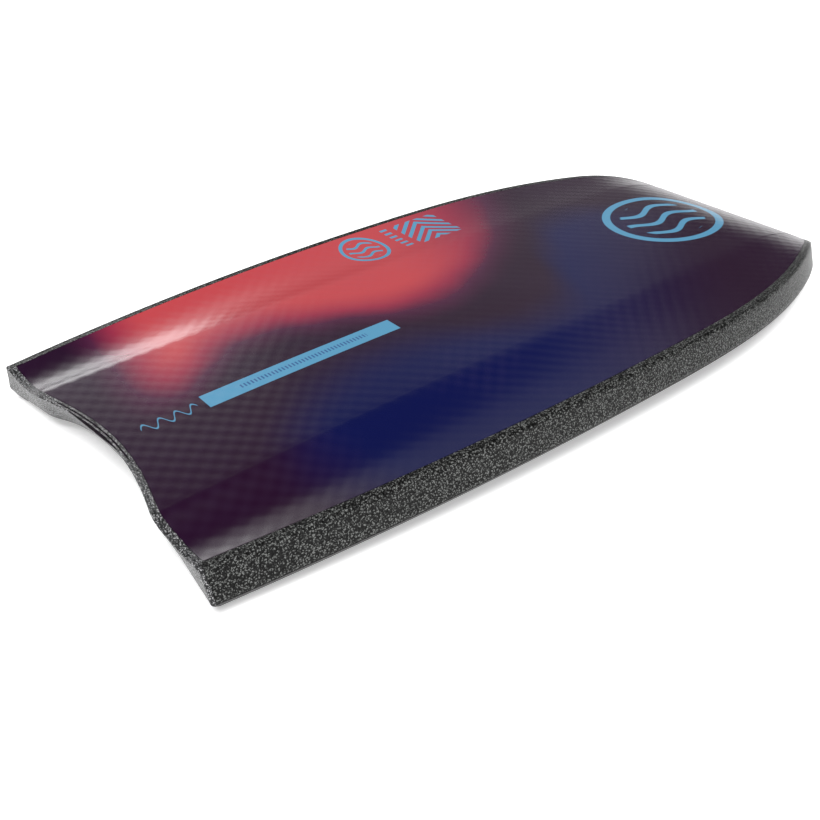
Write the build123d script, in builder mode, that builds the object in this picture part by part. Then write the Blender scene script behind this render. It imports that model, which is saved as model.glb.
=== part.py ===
"""A 42 inch bodyboard lying deck down, slick bottom up, built as the foam sandwich that it is.

Millimetres. +X runs from the tail to the nose, +Z is up, and +Y is called the left side.
The origin is on the floor under the middle of the board's box.
Heights are worked out at a distance u along the board, from a zero line just ahead of its tail lobes.
"""

import os
from math import radians, sin, tan

from build123d import *

# Plan shape, on the slick side.
length = 1055.0  # zero line to nose corners
widest_half = 256.5  # half the slick's width, rails included, at mid length
tail_loss = 35.5  # how much of that half width is lost at the tail
nose_loss = 104.5  # how much is lost at the nose corners
tail_power = 2.1  # how late the outline turns in towards the tail
nose_power = 3.0  # and towards the nose
tail_tip_y = 138.0  # where the crescent meets the straight lobes
lobe_reach = 4.9  # how far the lobes stand behind the zero line
nose_crown = 6.0  # how far the middle of the nose stands past its corners
nose_corner_radius = 21.0

# Side view.
thickness = 52.0
rocker = 36.0  # drop of the even curve over the whole length
kick = 22.0  # extra drop of the nose
kick_start = 0.876  # as a share of the length
kick_power = 2.4
resting_rise = 49.85  # rise over the length when the board rests on its nose and tail
tail_height = 51.2  # slick edge over the floor at the zero line
crest_height = 69.38  # the slick is level here, where it touches a floor if it is turned over
nose_undercut = radians(4.5)  # slope of the nose face from vertical
nose_chine_reach = 23.0  # from the slick's nose corners back to where the deck leaves the floor
nose_chine_slope = radians(19.0)  # the nose's chine rises forward from there

# Rails: the slick side flares out to the apex, and the chine tucks in to the deck.
apex_drop = 34.0
rail_flare = 12.0
deck_tuck = 3.5  # how far the deck's edge stands inside the slick's edge
rail_layer = 5.65  # each of two laminated layers, measured across the board
end_layer = 4.9  # each of two layers round the tail and the nose

# Twin channels of the slick, deepest at the tail.
plateau_height = 4.2
groove_depth = 5.4
crease_tail = 132.7  # half the width of the plateau at the tail
crease_nose = 128.0
channel_half = 0.50  # where the channels have half their depth, as a share of the length
channel_shape = [(0.0, plateau_height), (0.22, -1.0), (0.56, -groove_depth), (0.78, -4.0), (1.0, 0.0)]

# Tail face: three lines across the board, measured forward from the zero line.
# The first two are (forward at the middle, at the tips, at the corners, power of the crescent).
tail_slick_line = (19.6, -lobe_reach, -lobe_reach, 2)
tail_apex_line = (35.2, 10.0, -1.5, 4)  # the face turns in here, level with the rails' apex
tail_deck_middle = 46.0
tail_deck_fall = 39.0  # from the middle to the corners
tip_blend = 5.4  # how softly the crescent turns into the lobes

# Layers through the thickness.
skin_layer = 0.9
mesh_layer = 0.6
deck_layer = 4.6

# Stringer: a tube in a blind bore along the middle of the core, closed by a plug at each end.
stringer_radius = 5.5
stringer_wall = 1.3
stringer_start = 70.0
stringer_end = 840.0
plug_length = 20.0

# Stations: where the cross-sections stand, closer together towards the nose.
span_count = 14
spacing_power = 1.5
tail_points = 26  # the tail's lines run smoothly through this many steps across the board
overrun = 14.0  # the lofts run past both ends, and the end cuts trim them

tail_x = -(length + nose_crown - lobe_reach) / 2
rail_width = 2 * rail_layer
cut_reach = 400.0  # how far the end cuts reach past the board's sides


def station_list():
    """Distances along the board of all cross-sections."""
    inner = [length * (1 - (1 - i / span_count) ** spacing_power) for i in range(1, span_count)]
    return [-overrun] + inner + [length, length + overrun]


def half_width(u):
    """Half the slick's width at u, rails included."""
    from_middle = 2 * u / length - 1
    if from_middle < 0:
        return widest_half - tail_loss * (-from_middle) ** tail_power
    return widest_half - nose_loss * from_middle**nose_power


def slick_height(u):
    """Height of the slick's edge over the floor at u."""
    along = u / length
    nose_part = max(0.0, (along - kick_start) / (1 - kick_start))
    return tail_height + resting_rise * along - rocker * along**2 - kick * nose_part**kick_power


def rail_point(u, inset, drop):
    """A point of the rail's face at a drop below the slick, moved in by inset."""
    if drop <= apex_drop:
        out = rail_flare * drop / apex_drop
    else:
        out = rail_flare - (rail_flare + deck_tuck) * (drop - apex_drop) / (thickness - apex_drop)
    return (half_width(u) + out - inset, slick_height(u) - drop)


def slick_line(u, below=0.0):
    """The slick's channelled line across the board at u, from right to left, moved down by below."""
    along = u / length
    fade = 1 / (1 + (along / channel_half) ** 4)
    crease = crease_tail + (crease_nose - crease_tail) * along
    edge, edge_height = rail_point(u, rail_width, below)
    left = [(crease + (edge - crease) * share, edge_height + rise * fade) for share, rise in channel_shape]
    right = [(-y, z) for y, z in reversed(left)]
    return right + left


def section_plane(u):
    """The upright cross-section plane at u, with its own x along +Y and its own y up."""
    return Plane(origin=(tail_x + u, 0, 0), x_dir=(0, 1, 0), z_dir=(1, 0, 0))


def laid_along(corners):
    """A solid through every station, where corners(u) lists the corners of its cross-section."""
    with BuildPart() as layer:
        for u in station_list():
            with BuildSketch(section_plane(u)):
                with BuildLine():
                    Polyline(*corners(u), close=True)
                make_face()
        loft(ruled=True)
    return layer.part


def rail_band(outer_inset, inner_inset, top_drop, bottom_drop, side):
    """Corners of one rail layer on one side, as a function of u."""

    def corners(u):
        ring = [
            rail_point(u, outer_inset, top_drop),
            rail_point(u, outer_inset, bottom_drop),
            rail_point(u, inner_inset, bottom_drop),
            rail_point(u, inner_inset, top_drop),
        ]
        return [(side * y, z) for y, z in ring]

    return corners


def both_sides(points):
    """A ring of corners from the ones on the left side, top one first."""
    return points + [(-y, z) for y, z in reversed(points)]


def outline_corners(u):
    """The whole board."""
    side = [rail_point(u, 0, drop) for drop in (0, apex_drop, thickness)]
    left = [rail_point(u, rail_width, 0)] + side
    return slick_line(u)[1:-1] + left + [(-y, z) for y, z in reversed(left)]


def hull_corners(u):
    """Everything inside the rails, from the slick down to the deck skin."""
    drops = (apex_drop, thickness - deck_layer)
    left = [rail_point(u, rail_width, drop) for drop in drops]
    return slick_line(u) + left + [(-y, z) for y, z in reversed(left)]


def core_corners(u):
    """The foam core, under the slick skin and its mesh."""
    drops = (apex_drop, thickness - deck_layer)
    left = [rail_point(u, rail_width, drop) for drop in drops]
    return slick_line(u, skin_layer + mesh_layer) + left + [(-y, z) for y, z in reversed(left)]


def skin_corners(u):
    """The slick skin."""
    return slick_line(u) + list(reversed(slick_line(u, skin_layer)))


def mesh_corners(u):
    """The mesh sheet under the slick skin."""
    return slick_line(u, skin_layer) + list(reversed(slick_line(u, skin_layer + mesh_layer)))


def deck_corners(u):
    """The deck skin, trimmed flush with the chines."""
    return both_sides([rail_point(u, 0, thickness - deck_layer), rail_point(u, 0, thickness)])


def crescent_line(y, middle, tip, corner, power):
    """A crescent between two straight lobes, as a distance forward of the zero line at y."""
    lobe = tip + (corner - tip) * (abs(y) - tail_tip_y) / (half_width(0) - tail_tip_y)
    crescent = middle - (middle - tip) * (abs(y) / tail_tip_y) ** power
    overlap = max(0.0, tip_blend - abs(lobe - crescent))
    return max(lobe, crescent) + overlap**2 / (4 * tip_blend)


def tail_face(y, z):
    """How far forward of the zero line the tail's face stands at y, at a height over the floor."""
    apex = crescent_line(y, *tail_apex_line)
    apex_height = tail_height - apex_drop
    if z > apex_height:
        slick = crescent_line(y, *tail_slick_line)
        return apex + (slick - apex) * (z - apex_height) / apex_drop
    deck = tail_deck_middle - tail_deck_fall * (abs(y) / half_width(0)) ** 3
    return deck + (apex - deck) * z / apex_height


def end_window(inset):
    """What the end cuts leave when both ends are taken in by inset.

    It stands on the floor, so the deck's edges get narrow flats where they carry the board.
    The nose's layers wrap round under its chine.
    """
    side = widest_half + 2 * rail_flare
    across = [side * (2 * i / tail_points - 1) for i in range(tail_points + 1)]
    with BuildPart() as ahead_of_tail:
        for z in (-overrun, tail_height - apex_drop, crest_height + overrun):
            with BuildSketch(Plane.XY.offset(z)):
                with BuildLine():
                    face_line = [(tail_x + inset + tail_face(y, z), y) for y in across]
                    Spline(*face_line)
                    Polyline(face_line[-1], (length, side), (length, -side), face_line[0])
                make_face()
        loft(ruled=True)
    nose = tail_x + length - inset
    side_slope = 2 * nose_power * nose_loss / length
    corner = half_width(length) + rail_flare + side_slope * inset
    back = nose - cut_reach
    back_half = corner + side_slope * cut_reach
    with BuildPart() as behind_nose:
        with BuildSketch(Plane.XY.offset(slick_height(length))):
            with BuildLine():
                ThreePointArc((nose, corner), (nose + nose_crown, 0), (nose, -corner))
                Polyline((nose, -corner), (back, -back_half), (-length, -back_half))
                Line((-length, -back_half), (-length, back_half))
                Polyline((-length, back_half), (back, back_half), (nose, corner))
            make_face()
            corners = [v for v in vertices() if abs(v.X - nose) < 1]
            fillet(corners, nose_corner_radius - inset)
        extrude(amount=cut_reach, dir=(-tan(nose_undercut), 0, -1), both=True)
        with BuildSketch(Plane.XZ):
            with BuildLine():
                heel_x = tail_x + length - nose_chine_reach - inset / sin(nose_chine_slope)
                chine_top_x = heel_x + crest_height / tan(nose_chine_slope)
                floor_line = [(-length, 0), (heel_x, 0)]
                crest_line = [(chine_top_x, crest_height), (-length, crest_height)]
                Polyline(*floor_line, *crest_line, close=True)
            make_face()
        extrude(amount=cut_reach, both=True, mode=Mode.INTERSECT)
    return ahead_of_tail.part & behind_nose.part


def write(piece, name):
    """Name a finished piece and write it."""
    piece.part.label = name
    export_step(piece.part, f"parts/{name}.step")


os.makedirs("parts", exist_ok=True)

whole_window = end_window(0)
rail_window = end_window(end_layer)
core_window = end_window(2 * end_layer)
deck_top_drop = thickness - deck_layer

# Foam core, with the blind bore for the stringer.
stringer_foot = (tail_x + stringer_start, 0, slick_height(stringer_start) - thickness / 2)
stringer_head = (tail_x + stringer_end, 0, slick_height(stringer_end) - thickness / 2)
stringer_line = Vector(*stringer_head) - Vector(*stringer_foot)
stringer_length = stringer_line.length
stringer_plane = Plane(origin=stringer_foot, x_dir=(0, 1, 0), z_dir=stringer_line)

with BuildPart() as core:
    add(laid_along(core_corners))
    add(core_window, mode=Mode.INTERSECT)
    with BuildSketch(stringer_plane):
        Circle(stringer_radius)
    extrude(amount=stringer_length, mode=Mode.SUBTRACT)
write(core, "core")

# Stringer tube and the two plugs that close its bore.
with BuildPart() as stringer_tube:
    with BuildSketch(stringer_plane.offset(plug_length)):
        Circle(stringer_radius)
        Circle(stringer_radius - stringer_wall, mode=Mode.SUBTRACT)
    extrude(amount=stringer_length - 2 * plug_length)
write(stringer_tube, "stringer_tube")

for name, start in (("stringer_plug_tail", 0), ("stringer_plug_nose", stringer_length - plug_length)):
    with BuildPart() as plug:
        with BuildSketch(stringer_plane.offset(start)):
            Circle(stringer_radius)
        extrude(amount=plug_length)
    write(plug, name)

# Slick skin and the mesh sheet laminated under it.
with BuildPart() as slick_skin:
    add(laid_along(skin_corners))
    add(core_window, mode=Mode.INTERSECT)
write(slick_skin, "slick_skin")

with BuildPart() as slick_mesh:
    add(laid_along(mesh_corners))
    add(core_window, mode=Mode.INTERSECT)
write(slick_mesh, "slick_mesh")

# Deck skin, from rail to rail.
with BuildPart() as deck_skin:
    add(laid_along(deck_corners))
    add(rail_window, mode=Mode.INTERSECT)
write(deck_skin, "deck_skin")

# Rails: two layers over the slick side and one chine strip under them, on each side.
for side, side_name in ((1, "left"), (-1, "right")):
    rail_pieces = (
        ("rail_outer", 0, rail_layer, 0, apex_drop),
        ("rail_inner", rail_layer, rail_width, 0, apex_drop),
        ("chine", 0, rail_width, apex_drop, deck_top_drop),
    )
    for name, outer, inner, top, bottom in rail_pieces:
        with BuildPart() as rail_piece:
            add(laid_along(rail_band(outer, inner, top, bottom, side)))
            add(rail_window, mode=Mode.INTERSECT)
        write(rail_piece, f"{name}_{side_name}")

# Two layers round the tail and two round the nose: the inner ones end between the rails,
# and the outer ones cover the rails' ends.
hull = laid_along(hull_corners)
outline = laid_along(outline_corners)
for name, layer_of, outer_window, inner_window in (
    ("inner", hull, rail_window, core_window),
    ("outer", outline, whole_window, rail_window),
):
    for end_name, end_side in (("tail", Align.MAX), ("nose", Align.MIN)):
        with BuildPart() as end_strip:
            add(layer_of)
            add(outer_window, mode=Mode.INTERSECT)
            add(inner_window, mode=Mode.SUBTRACT)
            half = 2 * length
            Box(half, half, half, align=(end_side, Align.CENTER, Align.CENTER), mode=Mode.INTERSECT)
        write(end_strip, f"{end_name}_strip_{name}")
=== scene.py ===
"""Looks for a 42 inch bodyboard that lies deck down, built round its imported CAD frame.

Lengths are in millimetres until a mesh is made, and metres from there on.
A place on the board is u along it from a zero line just ahead of its tail lobes, y across it, and
drop below the slick side.
"""

from functools import lru_cache
from math import cos, pi, radians, sin, tan

import bmesh
import bpy
import numpy as np
from mathutils import Matrix, Vector


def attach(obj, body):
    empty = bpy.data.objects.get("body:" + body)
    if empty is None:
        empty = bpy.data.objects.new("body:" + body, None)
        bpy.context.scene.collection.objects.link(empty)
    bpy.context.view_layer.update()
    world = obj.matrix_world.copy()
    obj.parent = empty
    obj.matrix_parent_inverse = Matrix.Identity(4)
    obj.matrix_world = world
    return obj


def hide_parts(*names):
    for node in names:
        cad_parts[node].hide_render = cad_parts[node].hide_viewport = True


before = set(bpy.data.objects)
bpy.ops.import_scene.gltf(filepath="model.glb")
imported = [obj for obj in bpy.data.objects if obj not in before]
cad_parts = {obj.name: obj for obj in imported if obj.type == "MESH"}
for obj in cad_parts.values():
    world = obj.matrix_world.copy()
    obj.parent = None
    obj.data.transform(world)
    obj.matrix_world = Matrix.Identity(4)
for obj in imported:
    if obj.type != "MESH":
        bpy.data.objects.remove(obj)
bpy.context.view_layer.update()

MM = 0.001

# Plan shape, side view and channels, as in the CAD.
length = 1055.0
widest_half = 256.5
tail_loss = 35.5
nose_loss = 104.5
tail_power = 2.1
nose_power = 3.0
tail_tip_y = 138.0
lobe_reach = 4.9
nose_crown = 6.0
nose_half = 164.0
thickness = 52.0
rocker = 36.0
kick = 22.0
kick_start = 0.876
kick_power = 2.4
resting_rise = 49.85
tail_height = 51.2
crest_height = 69.38
nose_undercut = radians(4.5)
nose_chine_reach = 23.0
nose_clearance = 0.05  # keeps the looks just inside the CAD
nose_wrap = 10.0  # how far the nose's outer layer runs on under the deck's edge
apex_drop = 34.0
rail_flare = 12.0
deck_tuck = 3.5
rail_layer = 5.65
end_layer = 4.9
deck_layer = 4.6
skin_layer = 0.9
plateau_height = 4.2
crease_tail = 132.7
crease_nose = 128.0
channel_half = 0.50
tail_slick_line = (19.6, -lobe_reach, -lobe_reach, 2)
tail_apex_line = (35.2, 10.0, -1.5, 4)
tail_deck_middle = 46.0
tail_deck_fall = 39.0
tip_blend = 5.4
tail_x = -(length + nose_crown - lobe_reach) / 2

# Roundings. The CAD has only the nose corners' radius, and its creases and tail corners are sharp.
tail_corner_radius = 4.0
nose_corner_radius = 21.0
nose_corner_reach = 0.57  # from the corner to where its rounding starts, over its radius
least_corner_reach = 1.0
tail_corner_pull = 0.72  # how near a rounding runs to its corner
nose_corner_pull = 0.87
crease_round = 0.07  # as a share of the channel's width
crease_slope = -20.0  # change of height over a whole channel's width, just past the crease
channel_knots = (  # share of the channel's width, height, and slope in the same terms
    (crease_round, plateau_height + crease_slope * crease_round, crease_slope),
    (0.22, -0.9, -23.0),
    (0.56, -5.4, -2.0),
    (0.78, -4.0, 13.0),
    (1.0, 0.0, 20.0),
)

# Rounds in which places that depend on each other settle.
face_rounds = 4
corner_rounds = 8

# Fineness of the meshes, as counts of steps.
tail_steps = 60  # half the tail
tail_corner_steps = 8
nose_steps = 30  # half the nose
nose_corner_steps = 10
side_steps = 120
strip_tail_steps = 130  # the whole tail
slick_rows = 150
deck_rows = 110
deck_columns = 24

# Camera, floor and world.
camera_place = (-0.8033, -0.8198, 0.6347)
camera_azimuth = radians(40.04)  # from +Y towards +X
camera_fall = radians(33.29)
camera_roll = radians(0.648)
camera_lens = 43.62
camera_film = 36.0
floor_reach = 8.0
floor_paleness = 0.9
floor_glow = 0.42
world_brightness = 0.04


# Shape of the board.


def half_width(u):
    from_middle = 2 * u / length - 1
    if from_middle < 0:
        return widest_half - tail_loss * (-from_middle) ** tail_power
    return widest_half - nose_loss * from_middle**nose_power


def slick_height(u):
    along = u / length
    nose_part = max(0.0, (along - kick_start) / (1 - kick_start))
    return tail_height + resting_rise * along - rocker * along**2 - kick * nose_part**kick_power


def crease(u):
    return crease_tail + (crease_nose - crease_tail) * u / length


def channel_profile(share):
    """Height of the slick over its edge, from the plateau's crease at 0 to the slick's edge at 1."""
    if share <= -crease_round:
        return plateau_height
    if share < crease_round:
        return plateau_height + crease_slope * (share + crease_round) ** 2 / (4 * crease_round)
    if share >= 1:
        return 0.0
    for (start, low, low_slope), (end, high, high_slope) in zip(channel_knots, channel_knots[1:]):
        if share <= end:
            break
    span = end - start
    t = (share - start) / span
    ease = t * t * (3 - 2 * t)
    return (
        low * (1 - ease)
        + high * ease
        + span * low_slope * t * (1 - t) ** 2
        - span * high_slope * t * t * (1 - t)
    )


def channel_rise(u, y):
    fade = 1 / (1 + (u / length / channel_half) ** 4)
    edge = half_width(u) - 2 * rail_layer
    return fade * channel_profile((abs(y) - crease(u)) / (edge - crease(u)))


def height(u, y, drop):
    """Height over the floor, level at the crest. The channels fade out through the thickness."""
    rise = channel_rise(u, y) * (1 - drop / thickness)
    return min(crest_height, max(0.0, slick_height(u) + rise - drop))


def side_y(u, layer, drop):
    """The rail's face, moved in by a number of layers."""
    if drop <= apex_drop:
        out = rail_flare * drop / apex_drop
    else:
        out = rail_flare - (rail_flare + deck_tuck) * (drop - apex_drop) / (thickness - apex_drop)
    return half_width(u) + out - layer * rail_layer


def crescent_line(y, middle, tip, corner, power):
    """A crescent between two straight lobes, as a distance forward of the zero line."""
    lobe = tip + (corner - tip) * (y - tail_tip_y) / (half_width(0) - tail_tip_y)
    crescent = middle - (middle - tip) * (y / tail_tip_y) ** power
    overlap = max(0.0, tip_blend - abs(lobe - crescent))
    return max(lobe, crescent) + overlap**2 / (4 * tip_blend)


def tail_face(y, z):
    """How far forward of the zero line the tail's face stands at a height over the floor."""
    apex = crescent_line(y, *tail_apex_line)
    apex_height = tail_height - apex_drop
    if z > apex_height:
        slick = crescent_line(y, *tail_slick_line)
        return apex + (slick - apex) * (z - apex_height) / apex_drop
    deck = tail_deck_middle - tail_deck_fall * (y / half_width(0)) ** 3
    return deck + (apex - deck) * z / apex_height


def tail_u(y, layer, drop):
    """The tail's face, moved in by a number of layers. Its height and its place set each other."""
    y = abs(y)
    u = 0.0
    for _ in range(face_rounds):
        u = tail_face(y, height(u, y, drop)) + layer * end_layer
    return u


def nose_u(y, layer, drop):
    """The nose's face: nearly upright down to the apex, and a long chine from there to the deck."""
    crown = nose_crown * (1 - (y / nose_half) ** 2) - nose_clearance
    face = tan(nose_undercut) * min(drop, apex_drop) + layer * end_layer
    deck_edge = nose_chine_reach + crown + layer * nose_wrap
    chine = max(0.0, (drop - apex_drop) / (thickness - apex_drop))
    return length + crown - face - (deck_edge - face) * chine


@lru_cache(maxsize=None)
def corner(end_u, start, layer, drop):
    """Where the rail's face meets the tail's or the nose's, found in a few rounds from start."""
    u = start
    for _ in range(corner_rounds):
        y = side_y(u, layer, drop)
        u = end_u(y, layer, drop)
    return u, y


def rounded(start, middle, end, pull, t):
    """A point of the conic arc that rounds a corner."""
    weights = ((1 - t) ** 2, 2 * t * (1 - t) * pull, t * t)
    total = sum(weights)
    points = (start, middle, end)
    return tuple(sum(w * p[axis] for w, p in zip(weights, points)) / total for axis in (0, 1))


def rim(q, layer, drop):
    """A point of the board's outline, moved in by a number of layers.

    q runs from 0 at the middle of the tail, 1 to 2 round the tail's corner, 2 to 3 along the side,
    3 to 4 round the nose's corner, and to 5 at the middle of the nose.
    """
    u_tail, y_tail = corner(tail_u, 0.0, layer, drop)
    u_nose, y_nose = corner(nose_u, length, layer, drop)
    tail_round = max(least_corner_reach, tail_corner_radius - layer * end_layer)
    nose_round = nose_corner_reach * (nose_corner_radius - layer * end_layer)
    if q <= 1:
        y = q * (y_tail - tail_round)
        return tail_u(y, layer, drop), y
    side_start = (u_tail + tail_round, side_y(u_tail + tail_round, layer, drop))
    if q < 2:
        y = y_tail - tail_round
        tail_end = (tail_u(y, layer, drop), y)
        return rounded(tail_end, (u_tail, y_tail), side_start, tail_corner_pull, q - 1)
    u_end = u_nose - nose_round
    if q <= 3:
        u = side_start[0] + (u_end - side_start[0]) * (q - 2)
        return u, side_y(u, layer, drop)
    y = y_nose - nose_round
    if q < 4:
        side_end = (u_end, side_y(u_end, layer, drop))
        nose_start = (nose_u(y, layer, drop), y)
        return rounded(side_end, (u_nose, y_nose), nose_start, nose_corner_pull, q - 3)
    y *= 5 - q
    return nose_u(y, layer, drop), y


# Making meshes.


def place(u, y, z):
    return Vector((tail_x + u, y, z)) * MM


def piece_from(name, points, faces, node, material, sharp=35):
    """A finished piece that stands for a CAD node, smooth but for its sharp edges."""
    mesh = bpy.data.meshes.new(name)
    shape = bmesh.new()
    corners = [shape.verts.new(point) for point in points]
    for face in faces:
        shape.faces.new([corners[i] for i in face])
    bmesh.ops.recalc_face_normals(shape, faces=shape.faces)
    shape.to_mesh(mesh)
    shape.free()
    mesh.materials.append(material)
    mesh.shade_smooth()
    mesh.set_sharp_from_angle(angle=radians(sharp))
    piece = bpy.data.objects.new(name, mesh)
    bpy.context.scene.collection.objects.link(piece)
    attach(piece, "root")
    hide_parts(node)
    return piece


def steps(start, end, count):
    return [start + (end - start) * i / count for i in range(count + 1)]


def skinned(rows):
    """Faces of a tube through rows of points of one length; one many-sided face closes each end."""
    size = len(rows[0])
    faces = []
    for r in range(len(rows) - 1):
        for i in range(size):
            j = (i + 1) % size
            a = r * size
            faces.append((a + i, a + j, a + size + j, a + size + i))
    faces.append(tuple(reversed(range(size))))
    faces.append(tuple((len(rows) - 1) * size + i for i in range(size)))
    return faces


def strip(node, path, section, material):
    """A foam strip that follows the rim. section lists (millimetres in from the face, drop)."""
    rows = []
    for q in path:
        row = []
        for inset, drop in section:
            u, y = rim(abs(q), inset / rail_layer, drop)
            y = -y if q < 0 else y
            row.append(place(u, y, height(u, y, drop)))
        rows.append(row)
    points = [point for row in rows for point in row]
    return piece_from(f"{node}_strip", points, skinned(rows), node, material)


def end_rows(column_of, layer, drop, tail=True):
    """Columns and distances along the board where the rim of a panel crosses its columns."""
    if tail:
        path = steps(0, 1, tail_steps) + steps(1, 2, tail_corner_steps)[1:]
    else:
        path = steps(5, 4, nose_steps) + steps(4, 3, nose_corner_steps)[1:]
    places = [rim(q, layer, drop) for q in path]
    return [column_of(u, y) for u, y in places], [u for u, _ in places]


# Slick skin: a panel with its own columns for the plateau and the channels.
slick_layer = 1.97  # its edge laps a little over the inner rails


def slick_y(u, column):
    """The plateau is columns 0 to 1, and a channel 1 to 2."""
    if column <= 1:
        return column * crease(u)
    return crease(u) + (column - 1) * (side_y(u, slick_layer, 0) - crease(u))


def slick_column(u, y):
    if y <= crease(u):
        return y / crease(u)
    return 1 + (y - crease(u)) / (side_y(u, slick_layer, 0) - crease(u))


def make_slick(material):
    """A closed sheet, its columns closest where the creases and the edges turn.

    Rounding leaves the column at 0.98 in twice, so one column has no width.
    """
    plateau = steps(0, 0.92, 8) + [0.96, 0.98]
    channel = steps(1 - 0.08, 1.08, 8)[1:] + steps(1.08, 1.9, 18)[1:] + [1.93, 1.96, 1.98, 1.99, 2.0]
    half = sorted(set(plateau + [column for column in channel if column > 0.98]))
    columns = [-column for column in reversed(half[1:])] + half
    tail_columns, tail_us = end_rows(slick_column, slick_layer, 0.0)
    nose_columns, nose_us = end_rows(slick_column, slick_layer, 0.0, tail=False)
    rows = []
    for r in steps(0, 1, slick_rows):
        line = []
        for column in columns:
            start = float(np.interp(abs(column), tail_columns, tail_us))
            end = float(np.interp(abs(column), nose_columns, nose_us))
            u = start + (end - start) * r
            y = slick_y(u, abs(column))
            line.append(place(u, -y if column < 0 else y, height(u, y, 0)))
        underside = [point - Vector((0, 0, skin_layer * MM)) for point in reversed(line)]
        rows.append(line + underside)
    points = [point for row in rows for point in row]
    return piece_from("slick_panel", points, skinned(rows), "slick_skin", material, sharp=50)


# Deck skin: a closed panel from rail to rail, with rounded lower edges. Its section lists
# (millimetres in from the face, drop).
deck_top = thickness - deck_layer
deck_top_inset = 4.0
deck_foot_inset = 3.4
usual_half_width = 240.0  # turns the section's insets into shares of the deck's width
deck_edge = (
    (deck_top_inset, deck_top),
    (0.3, deck_top),
    (0, 47.9),
    (0, 48.6),
    (0.5, 50.3),
    (1.6, 51.4),
    (deck_foot_inset, thickness),
)


def make_deck(material):
    ring = [(1, inset, drop) for inset, drop in deck_edge]
    ring += [(share, deck_foot_inset, thickness) for share in steps(1, -1, deck_columns)[1:-1]]
    ring += [(-1, inset, drop) for inset, drop in reversed(deck_edge)]
    ring += [(share, deck_top_inset, deck_top) for share in steps(-1, 1, deck_columns)[1:-1]]
    rows = []
    limits = {}
    for drop in {drop for _, _, drop in ring}:
        ends = []
        for tail, joint in ((True, 2), (False, 3)):
            shares, us = end_rows(lambda u, y: y / side_y(u, 0, drop), 1.0, drop, tail)
            ends.append((shares + [1.0], us + [rim(joint, 0.0, drop)[0]]))
        limits[drop] = ends
    for r in steps(0, 1, deck_rows):
        row = []
        for share, inset, drop in ring:
            (tail_shares, tail_us), (nose_shares, nose_us) = limits[drop]
            reach = abs(share) * (1 - inset / usual_half_width)
            start = float(np.interp(reach, tail_shares, tail_us))
            end = float(np.interp(reach, nose_shares, nose_us))
            u = start + (end - start) * r
            y = share * (side_y(u, 0, drop) - inset)
            row.append(place(u, y, height(u, y, drop)))
        rows.append(row)
    points = [point for row in rows for point in row]
    return piece_from("deck_panel", points, skinned(rows), "deck_skin", material)


# Foam strips round the board, as their sections: (millimetres in from the face, drop).


def layer_section(outer, inner, bottom):
    """A layer with a rounded outer edge and small bevels that show its seams."""
    return (
        (inner - 0.1, bottom),
        (inner - 0.1, 0.4),
        (inner - 0.5, 0.06),
        (inner - 1.1, 0),
        (outer + 1.1, 0),
        (outer + 0.5, 0.06),
        (outer + 0.1, 0.4),
        (outer + 0.1, bottom),
    )


rail_width = 2 * rail_layer
outer_seam = ((5.55, 0.4), (5.2, 0.08), (4.6, 0), (3.4, 0))
rail_top = outer_seam + ((2.3, 0.25), (1.3, 0.95), (0.55, 2.1), (0.12, 3.8), (0, 5.5))
end_top = outer_seam + ((2.2, 0), (1.3, 0.15), (0.5, 0.6), (0.12, 1.3), (0, 2.2))
outer_face = ((0, 12), (0, 20), (0, 28))
apex_edge = ((0.1, 30.5), (0.5, 32.2), (1.2, 33.5), (1.9, 33.9), (5.55, 33.9))
tail_foot = (
    (0, 32),
    (0.1, 33.4),
    (0.1, 34.6),
    (0, 36),
    (0, 42),
    (0, 49.5),
    (0.5, 51.2),
    (1.5, 52),
    (5.55, 52),
)
nose_foot = (
    (0, 31),
    (0.1, 33),
    (0.3, 34.5),
    (0.2, 36.5),
    (0, 39),
    (0, 45),
    (0, 50.5),
    (0.4, 51.8),
    (1.2, 52),
    (5.6, 52),
)
chine_section = (
    (1.9, 34.0),
    (0.9, 34.5),
    (0.25, 35.8),
    (0, 38),
    (0, 46.8),
    (0.3, 47.3),
    (rail_width, 47.3),
    (rail_width, 34.0),
)

# The strips' paths, as the rim's q: negative on the right half.
tail_inside = steps(-1, 1, strip_tail_steps)
tail_corner = steps(1, 2, tail_corner_steps)
tail_outside = [-q for q in reversed(tail_corner)] + tail_inside[1:] + tail_corner[1:]
left_side = steps(2, 3, side_steps)
left_inside = steps(1, 2, 4) + left_side[1:] + steps(3, 4, 8)[1:]
nose_left = steps(3, 4, nose_corner_steps) + steps(4, 5, nose_steps)[1:]
nose_outside = nose_left + [-q for q in reversed(nose_left[:-1])]
nose_inside = [q for q in nose_outside if abs(q) >= 4]


# Materials.


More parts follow.
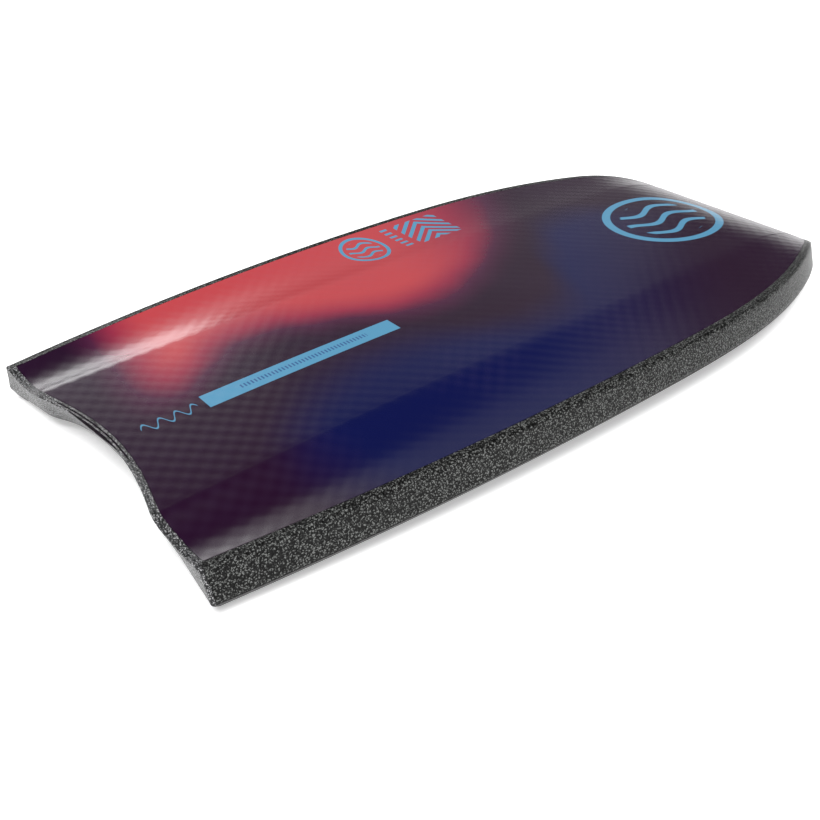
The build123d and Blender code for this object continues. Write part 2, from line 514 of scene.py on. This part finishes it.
class Field:
    """A number that varies over a surface, made of math nodes, so that formulas read as plain sums."""

    def __init__(self, tree, socket):
        self.tree = tree
        self.socket = socket

    def made_with(self, operation, *others):
        node = self.tree.nodes.new("ShaderNodeMath")
        node.operation = operation
        for slot, value in enumerate((self, *others)):
            if isinstance(value, Field):
                self.tree.links.new(value.socket, node.inputs[slot])
            else:
                node.inputs[slot].default_value = value
        return Field(self.tree, node.outputs[0])

    def __add__(self, other):
        return self.made_with("ADD", other)

    def __sub__(self, other):
        return self.made_with("SUBTRACT", other)

    def __mul__(self, other):
        return self.made_with("MULTIPLY", other)

    def __truediv__(self, other):
        return self.made_with("DIVIDE", other)

    def abs(self):
        return self.made_with("ABSOLUTE")

    def sin(self):
        return self.made_with("SINE")

    def root(self):
        return self.made_with("SQRT")

    def most(self, other):
        return self.made_with("MAXIMUM", other)

    def wrapped(self, span):
        """Distance to the middle of the nearest of equal spans."""
        return self.made_with("PINGPONG", span / 2)

    def between(self, start, end):
        """0 before start and 1 after end, with a soft run between them. start may be the larger."""
        node = self.tree.nodes.new("ShaderNodeMapRange")
        node.interpolation_type = "SMOOTHSTEP"
        node.inputs["From Min"].default_value = start
        node.inputs["From Max"].default_value = end
        self.tree.links.new(self.socket, node.inputs["Value"])
        return Field(self.tree, node.outputs[0])

    def along_curve(self, points):
        """A smooth curve through (0 to 1, 0 to 1) points."""
        node = self.tree.nodes.new("ShaderNodeFloatCurve")
        curve = node.mapping.curves[0]
        curve.points[0].location = points[0]
        curve.points[1].location = points[-1]
        for point in points[1:-1]:
            curve.points.new(*point)
        node.mapping.update()
        self.tree.links.new(self.socket, node.inputs["Value"])
        return Field(self.tree, node.outputs[0])


def blank_material(name, roughness, specular=0.5):
    """A material, its node tree and its shader."""
    material = bpy.data.materials.new(name)
    material.use_nodes = True
    tree = material.node_tree
    shader = tree.nodes["Principled BSDF"]
    shader.inputs["Roughness"].default_value = roughness
    shader.inputs["Specular IOR Level"].default_value = specular
    return material, tree, shader


def board_places(tree):
    """u and y in millimetres over the board, and the plain place in metres."""
    coordinates = tree.nodes.new("ShaderNodeTexCoord").outputs["Object"]
    split = tree.nodes.new("ShaderNodeSeparateXYZ")
    tree.links.new(coordinates, split.inputs[0])
    u = Field(tree, split.outputs["X"]) / MM - tail_x
    y = Field(tree, split.outputs["Y"]) / MM
    return u, y, coordinates


def cells(tree, coordinates, size):
    """Distance from the nearest of scattered points that stand about size metres apart."""
    node = tree.nodes.new("ShaderNodeTexVoronoi")
    node.inputs["Scale"].default_value = 1 / size
    tree.links.new(coordinates, node.inputs["Vector"])
    return Field(tree, node.outputs["Distance"])


def noise(tree, coordinates, size):
    """Soft patches about size metres across, from 0 to 1."""
    node = tree.nodes.new("ShaderNodeTexNoise")
    node.inputs["Scale"].default_value = 1 / size
    tree.links.new(coordinates, node.inputs["Vector"])
    return Field(tree, node.outputs["Fac"])


def mixed(tree, factor, low, high):
    """A colour between two, each a colour or the output of a node."""
    node = tree.nodes.new("ShaderNodeMix")
    node.data_type = "RGBA"
    tree.links.new(factor.socket, node.inputs["Factor"])
    for name, value in (("A", low), ("B", high)):
        socket = next(s for s in node.inputs if s.name == name and s.type == "RGBA")
        if isinstance(value, bpy.types.NodeSocket):
            tree.links.new(value, socket)
        else:
            socket.default_value = (*value, 1)
    return next(s for s in node.outputs if s.type == "RGBA")


def bumped(tree, shader, bump_height, depth):
    node = tree.nodes.new("ShaderNodeBump")
    node.inputs["Distance"].default_value = depth
    tree.links.new(bump_height.socket, node.inputs["Height"])
    tree.links.new(node.outputs["Normal"], shader.inputs["Normal"])


grain_height = 0.7  # over the pebbles' height
pebble_sheen_heights = (0.26, 0.46)  # painted sheen: the foam pales from its dark to its light colour between these heights, towards the pebbles' tops


def foam_material(name, dark, light, roughness, pebble=0.0015, depth=0.0006, specular=0.3):
    """Closed-cell foam skin: raised pebbles with finer grain between them, paler on their tops as a
    painted sheen.

    pebble is their size and depth their height, in metres.
    """
    material, tree, shader = blank_material(name, roughness, specular)
    coordinates = board_places(tree)[2]
    pebbles = cells(tree, coordinates, pebble)
    grain = noise(tree, coordinates, pebble / 2)
    bumped(tree, shader, grain * grain_height - pebbles, depth)
    # painted sheen: the colour runs from dark to light towards the pebbles' tops, where light would
    # catch them
    pebble_sheen = (grain - pebbles * 0.5).between(*pebble_sheen_heights)
    tree.links.new(mixed(tree, pebble_sheen, dark, light), shader.inputs["Base Color"])
    return material


# Slick: the print's colours run into each other like spray. Lengths are millimetres of u and y.
plum = (0.013, 0.0008, 0.014)
wine = (0.055, 0.006, 0.032)
crimson = (0.24, 0.018, 0.045)
coral = (0.42, 0.046, 0.055)
blue = (0.001, 0.003, 0.050)
sky = (0.075, 0.25, 0.40)
ink = (0.03, 0.09, 0.22)
diamond_sheen = (0.16, 0.12, 0.22)  # painted sheen on the pale side of the diamonds that the mesh sheet presses into the skin


def border_y(u, points):
    """A curved border: y as a function of u, through (u, y) points."""
    places = [(at / length, (y + print_half) / (2 * print_half)) for at, y in points]
    return (u / length).along_curve(places) * (2 * print_half) - print_half


print_half = 260.0  # the print reaches this far to each side
coral_border = (  # the coral lies to the left of it
    (0, 40),
    (100, 25),
    (230, 84),
    (330, 56),
    (440, 8),
    (560, 36),
    (700, 120),
    (860, print_half),
    (length, print_half),
)
blue_border = (  # the blue lies to the right of it
    (0, -print_half),
    (110, -150),
    (220, -62),
    (350, -35),
    (480, -80),
    (560, -95),
    (680, 40),
    (790, 110),
    (900, 60),
    (length, -60),
)
coral_blur = (-45, 75)
coral_tail_blur = (30, 150)
coral_nose_blur = (780, 430)
coral_tail_slant = 0.12  # how far the cloud's end leans along the board, over a step across it
coral_nose_slant = 0.35
blue_blur = (-40, 60)
blue_tail_blur = (60, 190)
blue_nose_blur = (1000, 640)
blue_tail_slant = 0.2
drift_size = 0.12  # metres
drift_reach = 20.0
diamond_width = 11.0
diamond_depth = 0.00008  # metres
# how much of the painted sheen the diamonds' pale sides get
diamond_sheen_share = 0.03
diamond_patch_size = 0.09  # metres
diamond_patches = (0.35, 0.65)


def sprayed_colours(tree, u, y, coordinates):
    """Plum all over, with a coral cloud on the left and a blue one on the right."""
    drift = noise(tree, coordinates, drift_size) * (2 * drift_reach) - drift_reach
    over_border = y - border_y(u, coral_border) + drift
    glow = over_border.between(*coral_blur) * (u - y * coral_tail_slant).between(*coral_tail_blur)
    glow = glow * (u - y * coral_nose_slant).between(*coral_nose_blur)
    blend = tree.nodes.new("ShaderNodeValToRGB")
    ramp = blend.color_ramp
    ramp.elements[0].color = (*plum, 1)
    ramp.elements[1].color = (*coral, 1)
    for at, colour in ((0.25, wine), (0.6, crimson)):
        ramp.elements.new(at).color = (*colour, 1)
    tree.links.new(glow.socket, blend.inputs[0])
    under_border = border_y(u, blue_border) - y + drift
    deep = under_border.between(*blue_blur) * (u + y * blue_tail_slant).between(*blue_tail_blur)
    deep = deep * (u - y).between(*blue_nose_blur)
    return mixed(tree, deep, blend.outputs["Color"], blue)


# Printed marks, in millimetres of u and y.
line_softness = 0.6
box_softness = 0.5
bar_box = ((127, 385), (-15, 11))
tick_box = ((172, 344), (-5, 2))
tick_spacing = 9
tick_width = 2.0
flourish_box = ((52, 118), (-16, 9))
flourish_turn = 0.33  # radians of its wave in a millimetre
flourish_swing = 7.5
chevron_box = ((568, 644), (160, 232))
chevron_spacing = 34
chevron_width = 8
side_tick_box = ((545, 557), (160, 232))
side_tick_spacing = 12
side_tick_width = 5.0
wave_swing = 0.10  # over the ring's radius across the board
wave_spacing = 0.44
wave_ends = (0.77, 0.73)
wave_width = 0.9  # over the ring's width
nose_ring_at = ((903, 5), (92, 76), 11)  # centre, radii and width of line
small_ring_at = ((493, 196), (31, 38), 6)


def outline_of(distance, width):
    """1 within half a width of where the distance is 0."""
    return distance.abs().between(width / 2 + line_softness, width / 2 - line_softness)


def boxed(u, y, u_range, y_range):
    """1 inside a rectangle of u and y."""
    inside_u = (u - sum(u_range) / 2).abs() - (u_range[1] - u_range[0]) / 2
    inside_y = (y - sum(y_range) / 2).abs() - (y_range[1] - y_range[0]) / 2
    return inside_u.most(inside_y).between(box_softness, -box_softness)


def round_mark(u, y, centre, radii, width):
    """A ring with three waves across its inside. centre, radii and width are in u and y."""
    across = (u - centre[0]) / radii[0]
    up = (y - centre[1]) / radii[1]
    reach = (across * across + up * up).root()
    ring = outline_of((reach - 1) * radii[1], width)
    swing = ((u - centre[0]) * (2 * pi / radii[0])).sin() * (radii[1] * wave_swing)
    wave = y - centre[1] - swing
    stripes = outline_of(wave.wrapped(radii[1] * wave_spacing), width * wave_width)
    return ring.most(stripes * reach.between(*wave_ends))


def printed_marks(u, y):
    """The marks in sky blue, and the darker ticks on the bar."""
    bar = boxed(u, y, *bar_box)
    ticks = outline_of(u.wrapped(tick_spacing) - 2.2, tick_width) * boxed(u, y, *tick_box)
    wave = y + 4 - ((u - flourish_box[0][0]) * flourish_turn).sin() * flourish_swing
    flourish = outline_of(wave * 0.6, 1.6) * boxed(u, y, *flourish_box)
    nose_ring = round_mark(u, y, *nose_ring_at)
    small_ring = round_mark(u, y, *small_ring_at)
    folded = (u - sum(chevron_box[0]) / 2).abs() * 0.9 + y - sum(chevron_box[1]) / 2
    bands = outline_of(folded.wrapped(chevron_spacing) - chevron_width, chevron_width)
    chevrons = bands * boxed(u, y, *chevron_box)
    side_bands = outline_of(y.wrapped(side_tick_spacing), side_tick_width)
    side_ticks = side_bands * boxed(u, y, *side_tick_box)
    marks = bar.most(flourish).most(nose_ring).most(small_ring).most(chevrons).most(side_ticks)
    return marks, ticks


def slick_material():
    """Gloss over the print, dimpled in diamonds by the mesh sheet under it, with a faint painted sheen
    on the diamonds' pale sides.
    """
    material, tree, shader = blank_material("slick_print_gloss", 0.27)
    u, y, coordinates = board_places(tree)
    marks, ticks = printed_marks(u, y)
    colour = sprayed_colours(tree, u, y, coordinates)
    diamonds = (u * (pi / diamond_width)).sin() * (y * (pi / diamond_width)).sin()
    patches = noise(tree, coordinates, diamond_patch_size).between(*diamond_patches)
    shade = (diamonds * 0.5 + 0.5) * patches
    # painted sheen: the diamonds' pale sides mix a little paler colour into the print
    colour = mixed(tree, shade * diamond_sheen_share, colour, diamond_sheen)
    colour = mixed(tree, marks, colour, sky)
    colour = mixed(tree, ticks, colour, ink)
    tree.links.new(colour, shader.inputs["Base Color"])
    bumped(tree, shader, diamonds, diamond_depth)
    return material


# Rails: black foam; its light colour paints grey glints on the pebbles' tops.
rail_foam = foam_material(
    "rail_foam_pebbled",
    dark=(0.0005, 0.0005, 0.0005),
    light=(0.15, 0.155, 0.15),
    roughness=0.32,
    pebble=0.0023,
    depth=0.0007,
    specular=0.15,
)
# Chine: a shaded copy of the rails' black foam, its pebbles' tops painted near black where the rails'
# get grey glints: painted shade.
chine_foam = foam_material(
    "chine_foam_pebbled",
    dark=(0.001, 0.001, 0.001),
    light=(0.010, 0.010, 0.010),
    roughness=0.42,
)
# Tail and nose strips: a lit copy of the rails' black foam, its pebbles' tops painted pale grey:
# painted sheen.
end_foam = foam_material(
    "end_foam_pebbled",
    dark=(0.006, 0.006, 0.007),
    light=(0.42, 0.42, 0.43),
    roughness=0.34,
    pebble=0.0019,
    depth=0.0008,
)
deck_foam = foam_material(
    "deck_foam_pebbled",
    dark=(0.012, 0.013, 0.018),
    light=(0.028, 0.029, 0.038),
    roughness=0.5,
)


# The pieces that show.
make_slick(slick_material())
make_deck(deck_foam)
outer_section = rail_top + outer_face + apex_edge
inner_section = layer_section(rail_layer, rail_width, 33.9)
for side, name in ((1, "left"), (-1, "right")):
    strip(f"rail_outer_{name}", [side * q for q in left_side], outer_section, rail_foam)
    strip(f"rail_inner_{name}", [side * q for q in left_inside], inner_section, rail_foam)
    strip(f"chine_{name}", [side * q for q in left_side], chine_section, chine_foam)
strip("tail_strip_outer", tail_outside, end_top + outer_face + tail_foot, end_foam)
strip("tail_strip_inner", tail_inside, layer_section(rail_layer, rail_width, 47.0), end_foam)
strip("nose_strip_outer", nose_outside, end_top + outer_face + nose_foot, end_foam)
strip("nose_strip_inner", nose_inside, layer_section(rail_layer, rail_width, 33.0), end_foam)

# The pieces inside keep their CAD shapes.
core_foam = foam_material(
    "core_foam_cells",
    dark=(0.72, 0.72, 0.70),
    light=(0.86, 0.86, 0.84),
    roughness=0.7,
    pebble=0.0012,
    depth=0.0002,
)
dark_parts = foam_material(
    "stringer_fibre",
    dark=(0.02, 0.02, 0.022),
    light=(0.05, 0.05, 0.055),
    roughness=0.35,
    pebble=0.001,
    depth=0.0001,
)
mesh_sheet = foam_material(
    "mesh_sheet_weave",
    dark=(0.2, 0.19, 0.21),
    light=(0.36, 0.34, 0.38),
    roughness=0.5,
    pebble=0.003,
    depth=0.0002,
)
inner_looks = {
    "core": core_foam,
    "slick_mesh": mesh_sheet,
    "stringer_tube": dark_parts,
    "stringer_plug_tail": dark_parts,
    "stringer_plug_nose": dark_parts,
}
for node, material in inner_looks.items():
    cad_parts[node].data.materials.clear()
    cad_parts[node].data.materials.append(material)


# Floor, lights and camera. Lengths are in metres.


def make_floor():
    """A pale, flat studio floor."""
    mesh = bpy.data.meshes.new("studio_floor")
    signs = ((-1, -1), (1, -1), (1, 1), (-1, 1))
    corners = [(floor_reach * x, floor_reach * y, 0) for x, y in signs]
    mesh.from_pydata(corners, [], [(0, 1, 2, 3)])
    floor = bpy.data.objects.new("studio_floor", mesh)
    bpy.context.scene.collection.objects.link(floor)
    material, tree, shader = blank_material("floor_paper", 0.9, 0.0)
    shader.inputs["Base Color"].default_value = (floor_paleness, floor_paleness, floor_paleness, 1)
    shader.inputs["Emission Color"].default_value = (1, 1, 1, 1)
    shader.inputs["Emission Strength"].default_value = floor_glow
    mesh.materials.append(material)


def softbox(name, azimuths, elevations, radiance, centre=(-0.2, 0, 0.05), distance=3.0):
    """A soft light that fills those angles, in degrees, as seen from centre.

    Azimuths run from +Y towards +X.
    """
    azimuth = radians(sum(azimuths) / 2)
    elevation = radians(sum(elevations) / 2)
    width = 2 * distance * tan(radians(azimuths[1] - azimuths[0]) / 2)
    tall = 2 * distance * tan(radians(elevations[1] - elevations[0]) / 2)
    light = bpy.data.lights.new(name, "AREA")
    light.shape = "RECTANGLE"
    light.size = width
    light.size_y = tall
    light.energy = radiance * pi * width * tall
    lamp = bpy.data.objects.new(name, light)
    away = Vector((sin(azimuth) * cos(elevation), cos(azimuth) * cos(elevation), sin(elevation)))
    lamp.location = Vector(centre) + away * distance
    lamp.rotation_euler = away.to_track_quat("Z", "Y").to_euler()
    lamp.visible_camera = False
    bpy.context.scene.collection.objects.link(lamp)


def sun(name, azimuth, elevation, strength, softness):
    """A far light; its angles are in degrees."""
    light = bpy.data.lights.new(name, "SUN")
    light.energy = strength
    light.angle = radians(softness)
    lamp = bpy.data.objects.new(name, light)
    azimuth, elevation = radians(azimuth), radians(elevation)
    away = Vector((sin(azimuth) * cos(elevation), cos(azimuth) * cos(elevation), sin(elevation)))
    lamp.rotation_euler = away.to_track_quat("Z", "Y").to_euler()
    bpy.context.scene.collection.objects.link(lamp)


def make_world():
    world = bpy.data.worlds.new("studio")
    world.use_nodes = True
    background = world.node_tree.nodes["Background"]
    background.inputs["Color"].default_value = (1, 1, 1, 1)
    background.inputs["Strength"].default_value = world_brightness
    bpy.context.scene.world = world


def make_camera():
    data = bpy.data.cameras.new("camera")
    data.lens = camera_lens
    data.sensor_width = camera_film
    camera = bpy.data.objects.new("camera", data)
    forward = Vector(
        (
            sin(camera_azimuth) * cos(camera_fall),
            cos(camera_azimuth) * cos(camera_fall),
            -sin(camera_fall),
        )
    )
    level = forward.cross(Vector((0, 0, 1))).normalized()
    upright = level.cross(forward)
    right = level * cos(camera_roll) + upright * sin(camera_roll)
    up = upright * cos(camera_roll) - level * sin(camera_roll)
    turn = Matrix((right, up, -forward)).transposed()
    camera.matrix_world = Matrix.Translation(camera_place) @ turn.to_4x4()
    bpy.context.scene.collection.objects.link(camera)
    bpy.context.scene.camera = camera


make_floor()
make_world()
sun("key", azimuth=-135, elevation=68, strength=4.3, softness=40)
softbox("tail_low", azimuths=(-20, 19), elevations=(1, 18), radiance=3.4)
softbox("tail_high", azimuths=(-15, 24), elevations=(18, 35.5), radiance=0.7)
softbox("nose_low", azimuths=(35, 75), elevations=(0, 11), radiance=1.1, centre=(0.4, 0, 0.05))
softbox("forward_haze", azimuths=(15, 58), elevations=(14, 40), radiance=0.25, centre=(0, 0, 0.05))
softbox(
    "rail_side",
    azimuths=(150, 175),
    elevations=(0, 14),
    radiance=9.0,
    centre=(-0.45, -0.25, 0.03),
    distance=2.5,
)
make_camera()
bpy.context.scene.view_settings.view_transform = "Standard"
